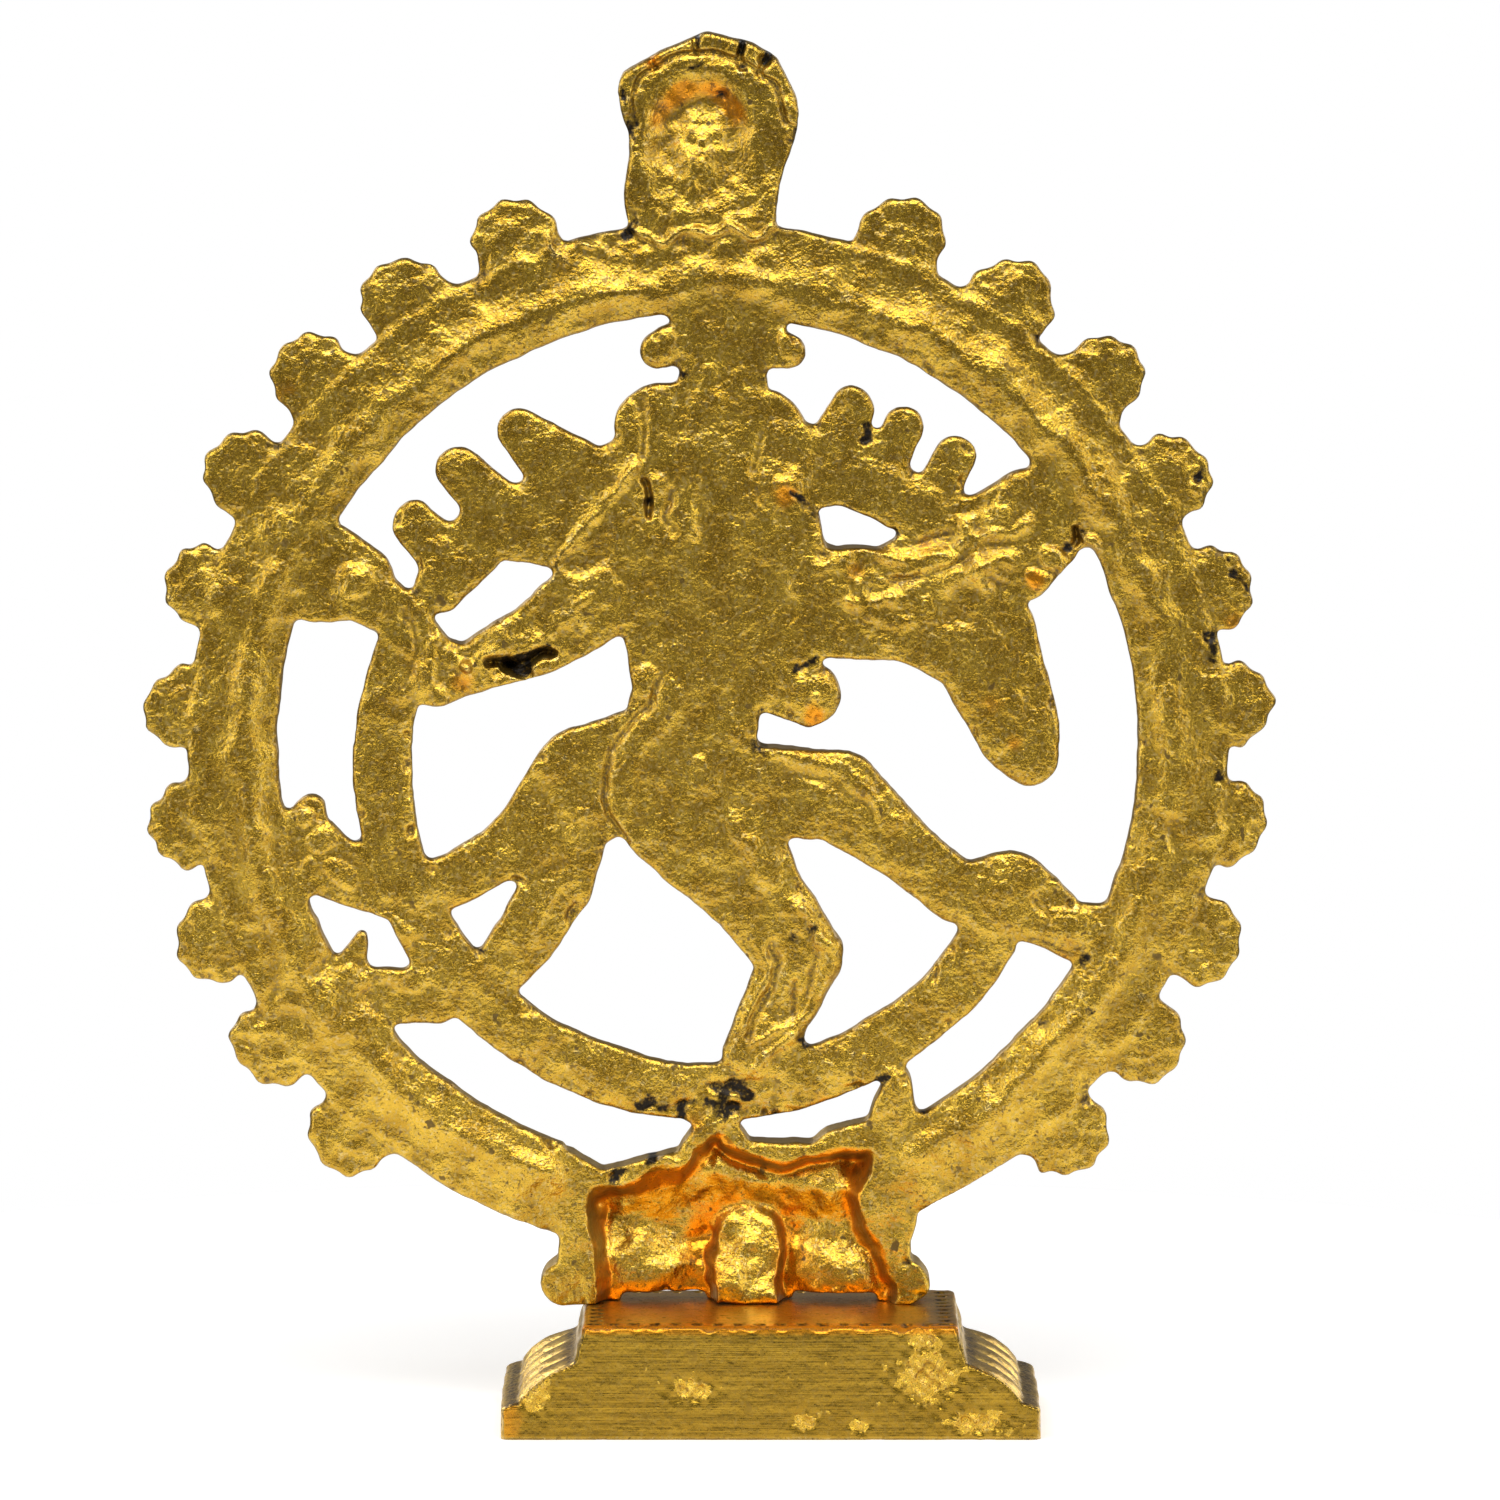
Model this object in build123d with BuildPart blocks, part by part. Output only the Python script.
from build123d import *
import math
import os

os.makedirs("parts", exist_ok=True)

# A cast brass Nataraja on its pedestal. Millimetres, +Z up, the dancer faces -Y, origin at the
# middle of the footprint on the surface that it stands on. Every plate of the openwork lies in XZ,
# as it left a two-part sand mould, and meets its neighbours face to face where they run together.

# Aureole: ring, its flame tongues and the mask on top
RING_CENTRE = (0.0, 98.0)
RING_INNER = 61.7
RING_OUTER = 74.7
RING_BACK = 0.6
RING_FRONT = -4.6
RING_BEVEL = 0.9
RING_RIDGE = 66.5
RING_RIDGE_RISE = 0.8
RING_GAP_INSET = 7.0
FLAMES_PER_SIDE = 10
FLAME_FIRST_ANGLE = 21.0
FLAME_STEP = 12.98
FLAME_CENTRE = 74.9
FLAME_STRETCH = 1.8
FLAME_RADIUS = 5.7
FLAME_BACK = -0.2
FLAME_THICKNESS = 3.4
SCALLOP_RING = 5.3
SCALLOP_RADIUS = 1.4
SCALLOPS = 7
SCALLOP_FAN = 216.0
FINIAL_BACK = 0.6
FINIAL_THICKNESS = 7.6
OVERALL_HEIGHT = 200.0

# Inner ring: a part circle from the flame arm down and round to the raised foot
INNER_CENTRE = (-0.4, 94.4)
INNER_OUTER = 51.3
INNER_INNER = 42.9
INNER_START = 211.0
INNER_SWEEP = 172.0
INNER_BACK = 0.2
INNER_THICKNESS = 4.2
INNER_CHAMFER = 0.7

# The dancer's plates, by where their back lies and how thick they are
FIGURE_BACK = 0.5
TORSO_THICKNESS = 8.0
LIMB_THICKNESS = 7.0
HAIR_THICKNESS = 4.6
SCARF_THICKNESS = 4.0
OVERLAY_THICKNESS = 3.8
HEAD_CENTRE = (-2.1, 155.7)
HEAD_THICKNESS = 11.5
CROWN_THICKNESS = 4.2

# Dwarf under the foot: a shell that is open behind, with a lug for the fixing screw
DWARF_THICKNESS = 10.5
DWARF_WALL = 2.4
DWARF_RIGHT_EDGE = -32.0
DWARF_LEFT_EDGE = 24.1
DWARF_FOOT_RADIUS = 3.1
DWARF_WAIST = 2.7
DWARF_SHOULDER_HEIGHT = 10.6
POCKET_CENTRE_X = -3.4
POCKET_WIDTH = 43.0
POCKET_HEIGHT = 10.0
ARCH_WIDTH = 12.0
ARCH_RISE = 1.3
ARCH_CENTRES = (6.4, -18.3)
LUG_RADIUS = 4.5
LUG_HEIGHT = 13.0

# Pedestal: half-width at each height. The back is one flat; the front steps in less than the sides
PEDESTAL_CENTRE_X = -9.0
PEDESTAL_BACK = 18.75
PEDESTAL_DEPTH = 37.5
PEDESTAL_HALF_WIDTH = 38.6
PEDESTAL_HEIGHT = 16.4
PEDESTAL_FRONT_SLOPE = 0.45
PEDESTAL_LEVELS = [
    (38.6, 0.0),
    (38.6, 4.4),
    (37.4, 5.2),
    (35.6, 5.6),
    (34.0, 7.6),
    (31.4, 9.6),
    (28.6, 10.9),
    (27.9, 12.6),
    (27.2, 14.6),
    (26.8, PEDESTAL_HEIGHT),
]
CAVITY_WALL = 3.4
CAVITY_TOP_HALF_WIDTH = 24.2

# Fixing screw from below
SCREW_X = -5.5
SCREW_Y = -4.2
SCREW_RADIUS = 2.0
SCREW_REACH = 9.0
SCREW_HEAD_RADIUS = 3.8
SCREW_HEAD_HEIGHT = 2.6
SCREW_SLOT_WIDTH = 1.0
SCREW_SLOT_DEPTH = 1.2
WASHER_RADIUS = 4.5
WASHER_THICKNESS = 1.0


def plate(back):
    """The XZ plane at a given Y, with its normal towards the viewer in front."""
    return Plane.XZ.offset(-back)


def tapered_run(joints):
    """Round joints (x, z, radius) in a row, with straight tangent sides between neighbours."""
    for (xa, za, ra), (xb, zb, rb) in zip(joints, joints[1:]):
        first = Edge.make_circle(ra, Plane((xa, za, 0)))
        second = Edge.make_circle(rb, Plane((xb, zb, 0)))
        make_hull([first, second])


def cut_back_to(*neighbours):
    """Take earlier pieces out of the part in hand, so that they meet face to face."""
    for neighbour in neighbours:
        add(neighbour.part, mode=Mode.SUBTRACT)


def pedestal_rectangle(half_width, inset):
    """Plan of the pedestal at one level, with its front stepped in less than its sides."""
    setback = PEDESTAL_FRONT_SLOPE * (PEDESTAL_HALF_WIDTH - half_width)
    with Locations((PEDESTAL_CENTRE_X, PEDESTAL_BACK - inset)):
        Rectangle(2 * half_width, PEDESTAL_DEPTH - setback - inset, align=(Align.CENTER, Align.MAX))


# ---------------------------------------------------------------- pedestal, hollow underneath
cavity_top = PEDESTAL_HEIGHT - CAVITY_WALL

with BuildPart() as pedestal:
    for half_width, height in PEDESTAL_LEVELS:
        with BuildSketch(Plane.XY.offset(height)):
            pedestal_rectangle(half_width, 0)
    loft(ruled=True)
    with BuildSketch(Plane.XY):
        pedestal_rectangle(PEDESTAL_HALF_WIDTH - CAVITY_WALL, CAVITY_WALL)
    with BuildSketch(Plane.XY.offset(cavity_top)):
        pedestal_rectangle(CAVITY_TOP_HALF_WIDTH, CAVITY_WALL)
    loft(ruled=True, mode=Mode.SUBTRACT)
    with Locations((SCREW_X, SCREW_Y, PEDESTAL_HEIGHT)):
        Hole(SCREW_RADIUS)

# ---------------------------------------------------------------- fixing screw and its washer
with BuildPart() as base_washer:
    with BuildSketch(Plane.XY.offset(cavity_top - WASHER_THICKNESS)):
        with Locations((SCREW_X, SCREW_Y)):
            Circle(WASHER_RADIUS)
            Circle(SCREW_RADIUS, mode=Mode.SUBTRACT)
    extrude(amount=WASHER_THICKNESS)

head_seat = cavity_top - WASHER_THICKNESS

with BuildPart() as base_screw:
    with BuildSketch(Plane.XY.offset(head_seat - SCREW_HEAD_HEIGHT)):
        with Locations((SCREW_X, SCREW_Y)):
            Circle(SCREW_HEAD_RADIUS)
    extrude(amount=SCREW_HEAD_HEIGHT)
    fillet(base_screw.edges().group_by(Axis.Z)[0], SCREW_HEAD_HEIGHT / 2)
    with BuildSketch(Plane.XY.offset(head_seat)):
        with Locations((SCREW_X, SCREW_Y)):
            Circle(SCREW_RADIUS)
    extrude(amount=PEDESTAL_HEIGHT + SCREW_REACH - head_seat)
    with BuildSketch(Plane.XY.offset(head_seat - SCREW_HEAD_HEIGHT)):
        with Locations((SCREW_X, SCREW_Y)):
            Rectangle(2 * SCREW_HEAD_RADIUS, SCREW_SLOT_WIDTH)
    extrude(amount=SCREW_SLOT_DEPTH, mode=Mode.SUBTRACT)

# ---------------------------------------------------------------- dwarf
ring_x, ring_z = RING_CENTRE
foot_z = PEDESTAL_HEIGHT + DWARF_FOOT_RADIUS
dwarf_middle = (DWARF_RIGHT_EDGE + DWARF_LEFT_EDGE) / 2

with BuildPart() as dwarf:
    with BuildSketch(plate(FIGURE_BACK)):
        tapered_run([(12.8, 28.2, 8.2), (-3.0, 30.4, 9.8), (-20.6, 30.4, 9.8)])
        tapered_run([(20.8, 36.2, 2.8), (16.4, 31.5, 4.4)])
        tapered_run([(-1.2, 36.6, 6.0), (-1.2, 41.1, 3.4)])
        tapered_run([(-18.8, 37.6, 4.6), (-26.0, 38.8, 4.8)])
        tapered_run([(-26.4, 39.8, 4.4), (-27.4, 49.0, 1.9)])
        tapered_run(
            [
                (DWARF_RIGHT_EDGE + DWARF_FOOT_RADIUS, foot_z, DWARF_FOOT_RADIUS),
                (DWARF_LEFT_EDGE - DWARF_FOOT_RADIUS, foot_z, DWARF_FOOT_RADIUS),
            ]
        )
        with Locations((dwarf_middle, PEDESTAL_HEIGHT)):
            Rectangle(
                DWARF_LEFT_EDGE - DWARF_RIGHT_EDGE - 2 * DWARF_WAIST,
                DWARF_SHOULDER_HEIGHT,
                align=(Align.CENTER, Align.MIN),
            )
        with Locations(*[(x, PEDESTAL_HEIGHT) for x in ARCH_CENTRES]):
            Rectangle(ARCH_WIDTH, 2 * ARCH_RISE, mode=Mode.SUBTRACT)
    extrude(amount=DWARF_THICKNESS)
    with BuildSketch(plate(FIGURE_BACK)):
        tapered_run([(11.3, 29.1, 5.6), (-2.6, 31.1, 7.8), (-19.0, 31.1, 7.8)])
        with Locations((POCKET_CENTRE_X, PEDESTAL_HEIGHT)):
            Rectangle(POCKET_WIDTH, POCKET_HEIGHT, align=(Align.CENTER, Align.MIN))
    extrude(amount=DWARF_THICKNESS - DWARF_WALL, mode=Mode.SUBTRACT)
    with BuildSketch(Plane.XY.offset(PEDESTAL_HEIGHT)):
        with Locations((SCREW_X, SCREW_Y)):
            Circle(LUG_RADIUS)
    extrude(amount=LUG_HEIGHT)
    with Locations((SCREW_X, SCREW_Y, PEDESTAL_HEIGHT)):
        Cylinder(
            SCREW_RADIUS,
            SCREW_REACH,
            align=(Align.CENTER, Align.CENTER, Align.MIN),
            mode=Mode.SUBTRACT,
        )

# ---------------------------------------------------------------- aureole ring
with BuildPart() as aureole_ring:
    with BuildSketch(Plane.XY.offset(ring_z)):
        with BuildLine():
            Polyline(
                (RING_INNER, RING_FRONT + RING_BEVEL),
                (RING_INNER, RING_BACK - RING_BEVEL),
                (RING_INNER + RING_BEVEL, RING_BACK),
                (RING_RIDGE, RING_BACK + RING_RIDGE_RISE),
                (RING_OUTER - RING_BEVEL, RING_BACK),
                (RING_OUTER, RING_BACK - RING_BEVEL),
                (RING_OUTER, RING_FRONT + RING_BEVEL),
                (RING_OUTER - RING_BEVEL, RING_FRONT),
                (RING_INNER + RING_BEVEL, RING_FRONT),
                close=True,
            )
        make_face()
    revolve(axis=Axis((ring_x, 0, ring_z), (0, 1, 0)))
    with BuildSketch(plate(FIGURE_BACK + 1)):
        with Locations((dwarf_middle, PEDESTAL_HEIGHT)):
            Rectangle(
                DWARF_LEFT_EDGE - DWARF_RIGHT_EDGE - RING_GAP_INSET,
                ring_z - RING_INNER,
                align=(Align.CENTER, Align.MIN),
            )
    extrude(amount=DWARF_THICKNESS, mode=Mode.SUBTRACT)
    cut_back_to(dwarf)

# ---------------------------------------------------------------- flame tongues, ten a side
flame_angles = [FLAME_FIRST_ANGLE + FLAME_STEP * k for k in range(FLAMES_PER_SIDE)]

with BuildPart() as aureole_flames:
    with BuildSketch(plate(FLAME_BACK)):
        with Locations(RING_CENTRE):
            for angle in flame_angles + [-angle for angle in flame_angles]:
                reach = FLAME_CENTRE + FLAME_STRETCH * abs(math.cos(math.radians(angle)))
                with PolarLocations(reach, 1, 90 + angle):
                    Circle(FLAME_RADIUS)
                    with PolarLocations(
                        SCALLOP_RING, SCALLOPS, -SCALLOP_FAN / 2, SCALLOP_FAN, endpoint=True
                    ):
                        Circle(SCALLOP_RADIUS)
    extrude(amount=FLAME_THICKNESS)
    with BuildSketch(plate(FLAME_BACK)):
        with Locations(RING_CENTRE):
            Circle(RING_OUTER)
    extrude(amount=FLAME_THICKNESS, mode=Mode.SUBTRACT)

# ---------------------------------------------------------------- mask finial
with BuildPart() as kirtimukha_finial:
    with BuildSketch(plate(FINIAL_BACK)):
        with BuildLine():
            flank = Spline((10.1, 170.6), (11.5, 181.0), (11.2, 183.6), (12.8, 189.6), (12.0, 194.3))
            brow = Polyline(
                flank @ 1,
                (7.3, 196.9),
                (0.0, OVERALL_HEIGHT),
                (-6.7, 198.3),
                (-10.2, 196.2),
                (-12.0, 192.6),
            )
            other_flank = Spline(brow @ 1, (-13.0, 186.8), (-11.3, 181.4), (-9.8, 175.0), (-10.6, 170.6))
            Line(other_flank @ 1, flank @ 0)
        make_face()
    extrude(amount=FINIAL_THICKNESS)
    cut_back_to(aureole_ring)

# ---------------------------------------------------------------- inner ring
with BuildPart() as inner_ring:
    with BuildSketch(plate(INNER_BACK)):
        with BuildLine():
            rim = CenterArc(INNER_CENTRE, INNER_OUTER, INNER_START, INNER_SWEEP)
            hollow = CenterArc(INNER_CENTRE, INNER_INNER, INNER_START, INNER_SWEEP)
            Line(rim @ 0, hollow @ 0)
            Line(rim @ 1, hollow @ 1)
        make_face()
    extrude(amount=INNER_THICKNESS)
    chamfer(inner_ring.edges().filter_by(GeomType.CIRCLE), INNER_CHAMFER)
    cut_back_to(dwarf)

# ---------------------------------------------------------------- torso, head and crown
head_x, head_z = HEAD_CENTRE

with BuildPart() as torso:
    with BuildSketch(plate(FIGURE_BACK)):
        tapered_run([(6.6, 142.8, 6.9), (-7.6, 142.4, 6.6)])
        tapered_run([(-0.2, 143.1, 7.0), (-2.6, 150.0, 6.2)])
        tapered_run([(-0.2, 134.2, 14.3), (-0.0, 119.2, 12.7), (1.4, 105.3, 9.0), (3.6, 94.3, 10.2)])
    extrude(amount=TORSO_THICKNESS)

with BuildPart() as head:
    with BuildSketch(plate(FIGURE_BACK)):
        with Locations(HEAD_CENTRE):
            Ellipse(6.8, 8.4)
        tapered_run([(head_x - 5.0, head_z, 3.4), (head_x - 9.4, head_z - 1.4, 2.5)])
        tapered_run([(head_x + 5.0, head_z, 3.4), (head_x + 9.4, head_z - 1.4, 2.5)])
    extrude(amount=HEAD_THICKNESS)
    cut_back_to(torso, aureole_ring)

with BuildPart() as crown:
    with BuildSketch(plate(RING_FRONT)):
        tapered_run([(head_x, head_z + 8.0, 8.4), (head_x, head_z + 13.4, 5.6)])
        tapered_run([(head_x - 9.0, head_z + 9.0, 3.6), (head_x, head_z + 12.0, 6.0)])
        tapered_run([(head_x + 9.0, head_z + 9.0, 3.6), (head_x, head_z + 12.0, 6.0)])
    extrude(amount=CROWN_THICKNESS)
    cut_back_to(head, aureole_ring, kirtimukha_finial, torso)

# ---------------------------------------------------------------- flying hair, three locks a side
with BuildPart() as hair_locks_left:
    with BuildSketch(plate(FIGURE_BACK)):
        tapered_run([(10.3, 134.4, 8.0), (19.0, 130.4, 7.6), (31.4, 128.9, 4.6), (38.4, 120.4, 3.8)])
        tapered_run([(19.4, 136.2, 5.8), (27.0, 142.8, 3.2)])
        tapered_run([(29.2, 130.8, 4.2), (35.8, 137.5, 3.2)])
        tapered_run([(36.6, 123.6, 4.2), (42.0, 129.6, 3.2)])
    extrude(amount=HAIR_THICKNESS)
    cut_back_to(torso)

with BuildPart() as hair_locks_right:
    with BuildSketch(plate(FIGURE_BACK)):
        tapered_run([(-9.6, 138.5, 6.6), (-20.5, 137.3, 5.0), (-29.1, 132.3, 4.2), (-34.5, 129.6, 4.6)])
        tapered_run([(-17.4, 139.4, 3.8), (-20.5, 145.9, 3.3)])
        tapered_run([(-24.6, 136.6, 3.2), (-28.0, 143.3, 3.0)])
        tapered_run([(-32.0, 132.6, 3.2), (-35.5, 139.1, 3.0)])
    extrude(amount=HAIR_THICKNESS)
    cut_back_to(torso)

# ---------------------------------------------------------------- arms on the dancer's left
with BuildPart() as flame_arm:
    with BuildSketch(plate(FIGURE_BACK)):
        tapered_run([(11.4, 121.8, 7.2), (23.9, 113.4, 5.3), (34.0, 108.5, 3.6), (39.4, 108.3, 5.1)])
        tapered_run([(39.4, 108.3, 5.1), (44.6, 116.4, 3.4), (49.8, 120.2, 4.5)])
    extrude(amount=LIMB_THICKNESS)
    cut_back_to(torso, hair_locks_left, inner_ring)

with BuildPart() as hand_flame:
    with BuildSketch(plate(FIGURE_BACK)):
        tapered_run([(50.2, 121.2, 5.4), (56.0, 122.8, 7.4)])
    extrude(amount=SCARF_THICKNESS)
    cut_back_to(aureole_ring, flame_arm)

# ---------------------------------------------------------------- arms on the dancer's right
with BuildPart() as drum_arm:
    with BuildSketch(plate(FIGURE_BACK)):
        tapered_run([(-9.6, 131.2, 6.0), (-12.6, 120.4, 5.6), (-26.0, 120.2, 5.9), (-39.0, 127.7, 5.9)])
        tapered_run([(-39.0, 127.7, 5.9), (-46.4, 131.2, 6.3), (-52.4, 132.2, 6.4)])
    extrude(amount=LIMB_THICKNESS)
    cut_back_to(torso, hair_locks_right, aureole_ring)

with BuildPart() as trunk_arm:
    with BuildSketch(plate(FIGURE_BACK)):
        tapered_run([(-9.6, 118.2, 7.4), (-28.5, 116.5, 6.8), (-39.4, 112.6, 8.1)])
        tapered_run([(-39.4, 112.6, 8.1), (-44.4, 100.0, 6.2), (-46.0, 95.9, 4.3)])
    extrude(amount=LIMB_THICKNESS)
    with BuildSketch(plate(FIGURE_BACK - LIMB_THICKNESS)):
        tapered_run([(8.3, 134.2, 5.4), (-3.6, 123.2, 4.8), (-20.5, 117.2, 4.2)])
    extrude(amount=OVERLAY_THICKNESS)
    cut_back_to(torso, drum_arm)

with BuildPart() as drum:
    with BuildSketch(plate(FIGURE_BACK)):
        tapered_run([(-44.8, 123.2, 4.8), (-49.6, 127.2, 4.0)])
    extrude(amount=LIMB_THICKNESS)
    cut_back_to(aureole_ring, drum_arm, trunk_arm)

with BuildPart() as blessing_arm:
    with BuildSketch(plate(FIGURE_BACK - LIMB_THICKNESS)):
        tapered_run([(-10.2, 136.1, 4.6), (-15.2, 122.2, 3.8), (-27.5, 121.8, 3.0), (-31.5, 128.2, 3.2)])
    extrude(amount=OVERLAY_THICKNESS)
    cut_back_to(torso, drum_arm, trunk_arm)

# ---------------------------------------------------------------- legs
with BuildPart() as standing_leg:
    with BuildSketch(plate(FIGURE_BACK)):
        tapered_run([(2.4, 89.3, 10.9), (-6.6, 77.0, 7.0), (-13.4, 66.9, 6.0), (-9.7, 59.0, 5.3)])
        tapered_run([(-9.7, 59.0, 5.3), (-7.5, 53.2, 5.4)])
        tapered_run([(-11.0, 50.1, 3.2), (-4.2, 49.3, 2.8)])
    extrude(amount=LIMB_THICKNESS)
    cut_back_to(torso, inner_ring)

with BuildPart() as raised_leg:
    with BuildSketch(plate(FIGURE_BACK)):
        tapered_run([(-2.6, 91.7, 6.2), (-18.8, 90.2, 6.6), (-28.4, 82.4, 4.6), (-36.2, 75.9, 4.3)])
        tapered_run([(-36.2, 75.9, 4.3), (-43.8, 76.8, 5.5), (-49.4, 72.8, 4.5)])
    extrude(amount=LIMB_THICKNESS)
    cut_back_to(torso, standing_leg, inner_ring)

with BuildPart() as foot_bridge:
    with BuildSketch(plate(INNER_BACK)):
        tapered_run([(-44.4, 72.6, 3.2), (-49.2, 71.6, 3.6), (-54.0, 70.2, 4.4), (-59.0, 69.8, 4.8)])
    extrude(amount=INNER_THICKNESS)
    cut_back_to(aureole_ring, inner_ring, raised_leg)

# ---------------------------------------------------------------- scarves and waist knot
with BuildPart() as waist_knot:
    with BuildSketch(plate(FIGURE_BACK)):
        tapered_run([(-7.6, 106.8, 4.0), (-14.6, 104.8, 4.6)])
    extrude(amount=LIMB_THICKNESS)
    cut_back_to(torso, trunk_arm)

with BuildPart() as sash:
    with BuildSketch(plate(INNER_BACK)):
        tapered_run([(11.0, 94.2, 8.2), (17.0, 92.0, 8.6), (24.6, 84.8, 5.8), (30.0, 81.6, 4.0)])
        tapered_run([(30.0, 81.6, 4.0), (38.5, 77.4, 3.8)])
        tapered_run([(19.6, 85.0, 5.0), (21.4, 77.3, 4.9), (26.2, 69.6, 4.6), (32.0, 62.8, 3.8)])
    extrude(amount=SCARF_THICKNESS)
    cut_back_to(torso, standing_leg, inner_ring)

with BuildPart() as scarf_bridge_upper:
    with BuildSketch(plate(INNER_BACK)):
        tapered_run([(43.1, 75.8, 4.2), (51.1, 78.2, 4.0), (58.6, 83.0, 5.6)])
        tapered_run([(58.6, 83.0, 4.6), (57.0, 88.6, 2.0)])
    extrude(amount=SCARF_THICKNESS)
    cut_back_to(aureole_ring, inner_ring, sash)

with BuildPart() as scarf_bridge_lower:
    with BuildSketch(plate(INNER_BACK)):
        tapered_run([(39.2, 61.4, 4.0), (53.1, 61.4, 4.2)])
        tapered_run([(51.7, 64.0, 3.0), (49.9, 69.8, 0.9)])
    extrude(amount=SCARF_THICKNESS)
    cut_back_to(aureole_ring, inner_ring, sash)

# ---------------------------------------------------------------- labels and files
pieces = {
    "pedestal": pedestal,
    "base_screw": base_screw,
    "base_washer": base_washer,
    "dwarf": dwarf,
    "aureole_ring": aureole_ring,
    "aureole_flames": aureole_flames,
    "kirtimukha_finial": kirtimukha_finial,
    "inner_ring": inner_ring,
    "torso": torso,
    "head": head,
    "crown": crown,
    "hair_locks_left": hair_locks_left,
    "hair_locks_right": hair_locks_right,
    "flame_arm": flame_arm,
    "hand_flame": hand_flame,
    "drum_arm": drum_arm,
    "trunk_arm": trunk_arm,
    "drum": drum,
    "blessing_arm": blessing_arm,
    "standing_leg": standing_leg,
    "raised_leg": raised_leg,
    "foot_bridge": foot_bridge,
    "waist_knot": waist_knot,
    "sash": sash,
    "scarf_bridge_upper": scarf_bridge_upper,
    "scarf_bridge_lower": scarf_bridge_lower,
}

for name, piece in pieces.items():
    piece.part.label = name
    export_step(piece.part, f"parts/{name}.step")
